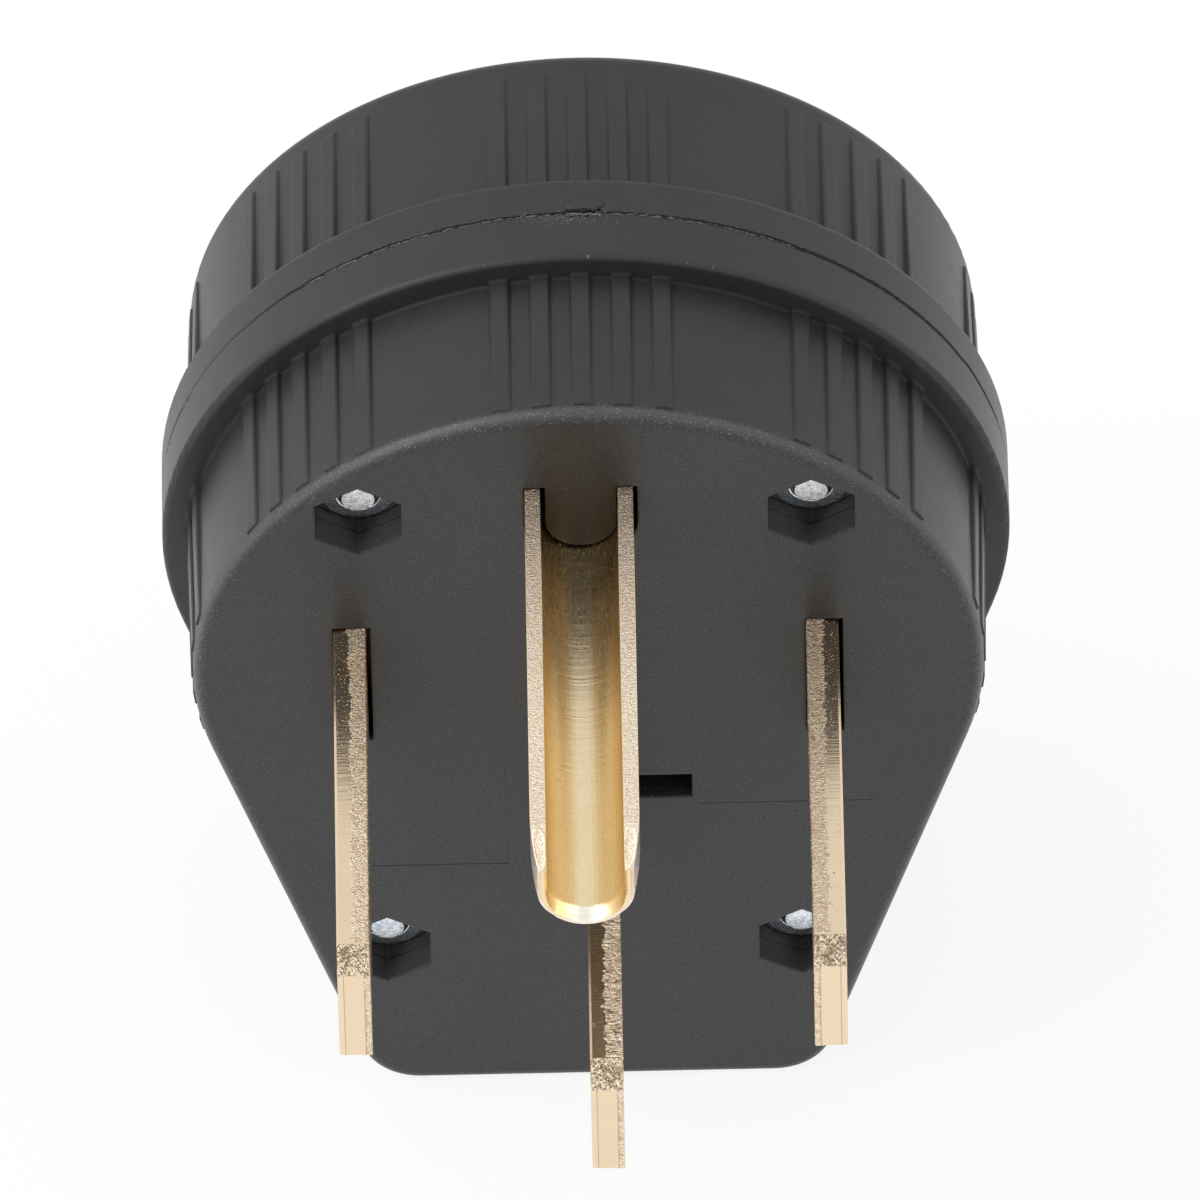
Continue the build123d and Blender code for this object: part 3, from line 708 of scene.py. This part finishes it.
# %% Draw the pin in
shape = bmesh.new()
shape.from_mesh(nodes["ground_pin"].data)
bmesh.ops.transform(shape, matrix=nodes["ground_pin"].matrix_world, verts=shape.verts)
bmesh.ops.scale(shape, verts=shape.verts, vec=(1 / MM, 1 / MM, 1 / MM))
for step in range(1, 25):
    share = (step / 24) ** 1.5
    whole = list(shape.verts) + list(shape.edges) + list(shape.faces)
    bmesh.ops.bisect_plane(
        shape, geom=whole, plane_co=(0, pin_tip + share * nose_length, 0), plane_no=(0, 1, 0)
    )
for corner in shape.verts:
    x, y, z = corner.co.x - pin_middle, corner.co.y - pin_tip, corner.co.z - pin_axis
    radius = sqrt(x * x + z * z)
    if y < bevel_length and z < 0 and pin_half - radius > 0.5:
        around = min(1, -z / radius * 1.6)
        ground = bevel_rise * (1 - y / bevel_length) * around
        grown = max(1, (pin_half - pin_wall + ground) / radius)
        corner.co.x, corner.co.z = pin_middle + x * grown, pin_axis + z * grown
    if y < nose_length:
        corner.co = nosed(corner.co)
bmesh.ops.scale(shape, verts=shape.verts, vec=(MM, MM, MM))
add_piece("ground_pin_nosed", shape, brass["ground_pin"], "ground_pin")

# %% [markdown]
# ## The long screws
# The frame's screws are plain. On the real ones the thread's first turns show in the nuts, and
# the heads have a cross recess. A thread is one notch of its profile, spun round the axis while
# it moves along by the pitch, so each turn joins the next. The head is a domed profile spun
# once, and a cutter of two crossed tapered bars takes the recess out of it.

# %% A mesh that a modifier has cut
def cut_out(shape, cutter):
    """Returns the first bmesh with the second one taken out of it."""
    meshes = []
    for part in (shape, cutter):
        mesh = bpy.data.meshes.new("cut")
        part.to_mesh(mesh)
        part.free()
        meshes.append(mesh)
    body, tool = (bpy.data.objects.new("cut", mesh) for mesh in meshes)
    for item in (body, tool):
        bpy.context.scene.collection.objects.link(item)
    cut = body.modifiers.new("cut", "BOOLEAN")
    cut.operation = "DIFFERENCE"
    cut.use_self = True
    cut.object = tool
    result = bmesh.new()
    result.from_object(body, bpy.context.evaluated_depsgraph_get())
    for item in (body, tool):
        bpy.data.objects.remove(item)
    for mesh in meshes:
        bpy.data.meshes.remove(mesh)
    return result


# %% Thread, head and recess
def profile(shape, points):
    """A line of vertices in the plane of the axis: radius and place along the axis."""
    corners = [shape.verts.new((radius, along, 0)) for radius, along in points]
    edges = [shape.edges.new(pair) for pair in zip(corners, corners[1:])]
    return corners + edges


def threaded_rod(radius, length, pitch=0.5, steps=32):
    """A thread from 0 to length along Y, with a flat tapered end at 0."""
    shape = bmesh.new()
    depth = 0.55 * pitch
    points = [
        (radius, 0),
        (radius, 0.14 * pitch),
        (radius - depth, 0.46 * pitch),
        (radius - depth, 0.66 * pitch),
        (radius, pitch),
    ]
    turns = int(length / pitch) + 2
    start = [(r, along - pitch) for r, along in points]
    bmesh.ops.spin(
        shape,
        geom=profile(shape, start),
        cent=(0, 0, 0),
        axis=(0, 1, 0),
        dvec=(0, pitch / steps, 0),
        angle=2 * pi * turns,
        steps=steps * turns,
    )
    bmesh.ops.remove_doubles(shape, verts=shape.verts, dist=0.004)
    for place, side in ((0, -1), (length, 1)):
        whole = list(shape.verts) + list(shape.edges) + list(shape.faces)
        bmesh.ops.bisect_plane(
            shape, geom=whole, plane_co=(0, place, 0), plane_no=(0, side, 0), clear_outer=True
        )
        rim = [edge for edge in shape.edges if edge.is_boundary]
        bmesh.ops.holes_fill(shape, edges=rim)
    for corner in shape.verts:
        reach = sqrt(corner.co.x**2 + corner.co.z**2)
        allowed = radius - 0.42 + corner.co.y * 0.9
        if reach > allowed and corner.co.y < 0.6:
            corner.co.x *= allowed / reach
            corner.co.z *= allowed / reach
    bmesh.ops.recalc_face_normals(shape, faces=shape.faces)
    return shape


def recessed_head(radius, height, seat):
    """A low domed head that stands on seat and rises along Y, with a cross recess."""
    shape = bmesh.new()
    points = [
        (0, seat),
        (radius - 0.1, seat),
        (radius, seat + 0.1),
        (radius, seat + 0.45 * height),
        (radius * 0.93, seat + 0.70 * height),
        (radius * 0.74, seat + 0.90 * height),
        (radius * 0.45, seat + height),
        (0, seat + height),
    ]
    bmesh.ops.spin(
        shape,
        geom=profile(shape, points),
        cent=(0, 0, 0),
        axis=(0, 1, 0),
        angle=2 * pi,
        steps=48,
        use_merge=True,
    )
    bmesh.ops.remove_doubles(shape, verts=shape.verts, dist=0.004)
    bmesh.ops.recalc_face_normals(shape, faces=shape.faces)
    cutter = bmesh.new()
    for angle in (radians(20), radians(110)):
        bar = bmesh.ops.create_cube(cutter, size=1)["verts"]
        for corner in bar:
            top = corner.co.y > 0
            corner.co.x *= (1.42 if top else 0.55) * radius
            corner.co.z *= 0.62 if top else 0.34
            corner.co.y = seat + height * (1.4 if top else 0.25)
        bmesh.ops.rotate(cutter, verts=bar, cent=(0, 0, 0), matrix=Matrix.Rotation(angle, 3, "Y"))
    return cut_out(shape, cutter)


# %% Four long screws in place
thread_length = 7.0
head_height = 2.2
shank_radius = 1.5
for number, (x, z) in enumerate(pockets, start=1):
    name = f"housing_screw_{number}"
    low, high = (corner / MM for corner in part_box(name))
    head_radius = (high.x - low.x) / 2
    head_seat = high.y - head_height - low.y
    screw = threaded_rod(shank_radius, thread_length)
    bmesh.ops.create_cone(
        screw,
        cap_ends=True,
        segments=48,
        radius1=shank_radius,
        radius2=shank_radius,
        depth=head_seat - thread_length + 0.2,
        matrix=Matrix.Translation((0, (head_seat + thread_length) / 2, 0))
        @ Matrix.Rotation(radians(90), 4, "X"),
    )
    # The first whole turn of the thread, burnished by the nut
    ring = profile(
        screw,
        [
            (shank_radius + 0.09 * cos(pi * step / 4), 0.52 + 0.09 * sin(pi * step / 4))
            for step in range(9)
        ],
    )
    bmesh.ops.spin(
        screw,
        geom=ring,
        cent=(0, 0, 0),
        axis=(0, 1, 0),
        angle=2 * pi,
        steps=64,
        use_merge=True,
    )
    head = recessed_head(head_radius, head_height, head_seat)
    joined = bpy.data.meshes.new("head")
    head.to_mesh(joined)
    head.free()
    screw.from_mesh(joined)
    bpy.data.meshes.remove(joined)
    turn = Matrix.Rotation(radians(70 * number), 3, "Y")
    bmesh.ops.rotate(screw, verts=screw.verts, cent=(0, 0, 0), matrix=turn)
    bmesh.ops.translate(screw, verts=screw.verts, vec=(x, low.y, z))
    bmesh.ops.scale(screw, verts=screw.verts, vec=(MM, MM, MM))
    add_piece(f"{name}_threaded", screw, zinc, name)

# %% [markdown]
# ## Flash and crumbs along the seam
# Where the two shells meet, a little plastic has squeezed out and torn. It stands beside the
# crack as ragged fins less than a tenth of a millimetre high, and broken crumbs lie around
# it, more than half of them near the notch at the crown. The fins are a strip that follows the
# belt round its axis, with a ragged upper edge. The crumbs are small dented icospheres.

# %% Ragged fins beside the crack
def seam_fin(name, offset, seed, first, last):
    """A thin ragged wall on the belt between two angles from the crown."""
    shape = bmesh.new()
    steps = int((last - first) / 0.22)
    bmesh.ops.create_grid(shape, x_segments=steps, y_segments=1, size=0.5)
    for corner in shape.verts:
        angle = first + (corner.co.x + 0.5) * (last - first)
        place = angle * radians(1) * belt_radius
        wander = 0.10 * noise.fractal(Vector((place * 0.9, 0, 31)), 0.7, 2.0, 4)
        ragged = 0.02 + 0.09 * noise.fractal(Vector((place * 2.2, 3, seed)), 0.5, 2.1, 4)
        top = corner.co.y > 0
        radius = belt_radius + (max(-0.03, min(0.07, ragged)) if top else -0.05)
        depth = seam_depth + wander + offset * (0.5 if top else 1)
        corner.co = Vector((
            radius * sin(radians(angle)),
            depth,
            radius * cos(radians(angle)),
        )) * MM
    bmesh.ops.solidify(shape, geom=shape.faces, thickness=0.03 * MM)
    bmesh.ops.recalc_face_normals(shape, faces=shape.faces)
    return add_piece(name, shape, flash_nylon)


flash_nylon = moulded_finish("flash_nylon", (0.05, 0.05, 0.051), (0.20, 0.20, 0.20), 0.3, 0.02)
seam_fin("seam_flash_front", -0.17, 3.0, -40, 30)
seam_fin("seam_flash_rear", 0.19, 9.0, -32, 56)
seam_fin("seam_flash_left", -0.07, 5.0, -80, -66)

# %% The low mound that fills the notch
shape = bmesh.new()
bmesh.ops.create_uvsphere(shape, u_segments=64, v_segments=32, radius=1)
for corner in shape.verts:
    place = corner.co * (1 + 0.12 * noise.fractal(corner.co * 2.3, 0.6, 2.1, 3))
    x, depth = 0.33 + 1.32 * place.x, 16.56 + 0.60 * place.y
    rough = 0.035 * noise.fractal(Vector((x * 2.5, depth * 2.5, 4)), 0.6, 2.1, 3)
    lift = min(1, 1.6 * max(0, place.z)) * (0.10 + rough) + min(0, place.z) * 0.2 - 0.02
    corner.co = Vector((x, depth, sqrt(belt_radius**2 - x * x) + lift)) * MM
bmesh.ops.recalc_face_normals(shape, faces=shape.faces)
add_piece("notch_mound", shape, housing)

# %% Crumbs along the seam and on the front edge of the belt
crumb_count, crumbs_by_notch = 330, 190
edge_depth = 12.1
edge_crumbs = ((0.55, 0.12), (-6.2, 0.07), (7.0, 0.06), (8.7, 0.07))
chance = random.Random(12)
shape = bmesh.new()
crumbs = []
for number in range(crumb_count):
    if number < crumbs_by_notch:
        x, depth = chance.gauss(-0.7, 1.3), seam_depth - 0.15 - abs(chance.gauss(0, 0.42))
    else:
        x, depth = chance.gauss(0.5, 8.0), seam_depth + chance.gauss(0, 0.16)
    crumbs.append((x, depth, chance.uniform(0.02, 0.06)))
crumbs += [(x, edge_depth, size) for x, size in edge_crumbs]
for x, depth, size in crumbs:
    ball = bmesh.ops.create_icosphere(shape, subdivisions=1, radius=size)["verts"]
    for corner in ball:
        corner.co *= chance.uniform(0.6, 1.25)
    height = sqrt(belt_radius**2 - min(x * x, 600)) - size * 0.35
    bmesh.ops.translate(shape, verts=ball, vec=(x, depth, height))
bmesh.ops.scale(shape, verts=shape.verts, vec=(MM, MM, MM))
bmesh.ops.recalc_face_normals(shape, faces=shape.faces)
add_piece("seam_crumbs", shape, flash_nylon)

# %% [markdown]
# ## Floor, surroundings and lamps
# The plug was photographed in a white tent. The floor is plain white, and so are the
# surroundings, apart from a dark patch behind the camera. The main soft lamp stands to the
# upper left, with weaker ones to the right and low on the left. For rays from the camera and
# from mirrors the floor is mostly a plain white, with enough of its lit surface left to keep
# the shadow.

# %% Link sockets
def wire(tree, pairs):
    """Links each pair of sockets in a node tree."""
    for start, end in pairs:
        tree.links.new(start, end)


# %% Floor
floor_radius = 1.2
shadow_share = 0.14
floor_mesh = bpy.data.meshes.new("floor")
shape = bmesh.new()
bmesh.ops.create_circle(shape, cap_ends=True, radius=floor_radius, segments=96)
bmesh.ops.translate(shape, vec=(0, 0, cad_low.z), verts=shape.verts)
shape.to_mesh(floor_mesh)
shape.free()
floor = bpy.data.objects.new("floor", floor_mesh)
bpy.context.scene.collection.objects.link(floor)
floor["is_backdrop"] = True

floor_finish = bpy.data.materials.new("white_floor")
floor_finish.use_nodes = True
floor_tree = floor_finish.node_tree
floor_tree.nodes.clear()
diffuse = floor_tree.nodes.new("ShaderNodeBsdfDiffuse")
diffuse.inputs["Color"].default_value = (0.9, 0.9, 0.9, 1)
glow = floor_tree.nodes.new("ShaderNodeEmission")
seen = floor_tree.nodes.new("ShaderNodeLightPath")
any_seen = floor_tree.nodes.new("ShaderNodeMath")
any_seen.operation = "MAXIMUM"
mirror_seen = floor_tree.nodes.new("ShaderNodeMath")
mirror_seen.operation = "MAXIMUM"
keep = floor_tree.nodes.new("ShaderNodeMath")
keep.operation = "MULTIPLY"
keep.inputs[1].default_value = 1 - shadow_share
blend = floor_tree.nodes.new("ShaderNodeMixShader")
floor_output = floor_tree.nodes.new("ShaderNodeOutputMaterial")
wire(floor_tree, (
    (seen.outputs["Is Glossy Ray"], mirror_seen.inputs[0]),
    (seen.outputs["Is Transmission Ray"], mirror_seen.inputs[1]),
    (seen.outputs["Is Camera Ray"], any_seen.inputs[0]),
    (mirror_seen.outputs[0], any_seen.inputs[1]),
    (any_seen.outputs[0], keep.inputs[0]),
    (keep.outputs[0], blend.inputs[0]),
    (diffuse.outputs[0], blend.inputs[1]),
    (glow.outputs[0], blend.inputs[2]),
    (blend.outputs[0], floor_output.inputs["Surface"]),
))
floor_mesh.materials.append(floor_finish)

# %% White surroundings
to_camera = (0, -0.649, 0.760)
patch_edge, patch_core, patch_shade = 0.955, 0.985, 0.25
world = bpy.data.worlds.new("white_tent")
bpy.context.scene.world = world
world.use_nodes = True
background = world.node_tree.nodes["Background"]
background.inputs["Strength"].default_value = 0.9
# The photographer's side of the tent is open and dark, as the pressed tips of the blades show
way = world.node_tree.nodes.new("ShaderNodeTexCoord")
likeness = world.node_tree.nodes.new("ShaderNodeVectorMath")
likeness.operation = "DOT_PRODUCT"
likeness.inputs[1].default_value = to_camera
tent = world.node_tree.nodes.new("ShaderNodeValToRGB")
tent.color_ramp.elements[0].position = patch_edge
tent.color_ramp.elements[0].color = (1, 1, 1, 1)
tent.color_ramp.elements[1].position = patch_core
tent.color_ramp.elements[1].color = (patch_shade, patch_shade, patch_shade, 1)
wire(world.node_tree, (
    (way.outputs["Generated"], likeness.inputs[0]),
    (likeness.outputs["Value"], tent.inputs["Fac"]),
    (tent.outputs["Color"], background.inputs["Color"]),
))


# %% Lamps
def soft_lamp(name, place, size, power):
    """A square soft box that faces the plug."""
    data = bpy.data.lights.new(name, "AREA")
    data.shape = "SQUARE"
    data.size = size
    data.energy = power
    lamp = bpy.data.objects.new(name, data)
    lamp.location = place
    lamp.rotation_mode = "QUATERNION"
    lamp.rotation_quaternion = Vector(place).to_track_quat("Z", "Y")
    bpy.context.scene.collection.objects.link(lamp)
    return lamp


soft_lamp("key_box", (-0.95, -0.1, 1.05), 0.8, 8.0)
soft_lamp("side_box", (0.9, -0.1, 1.0), 0.7, 0.6)
soft_lamp("low_box", (-1.1, -0.5, 0.35), 0.5, 1.5)

# %% Write the sizes and finish
low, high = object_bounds()
print("visual size in mm:", [round(v / MM, 1) for v in high - low])
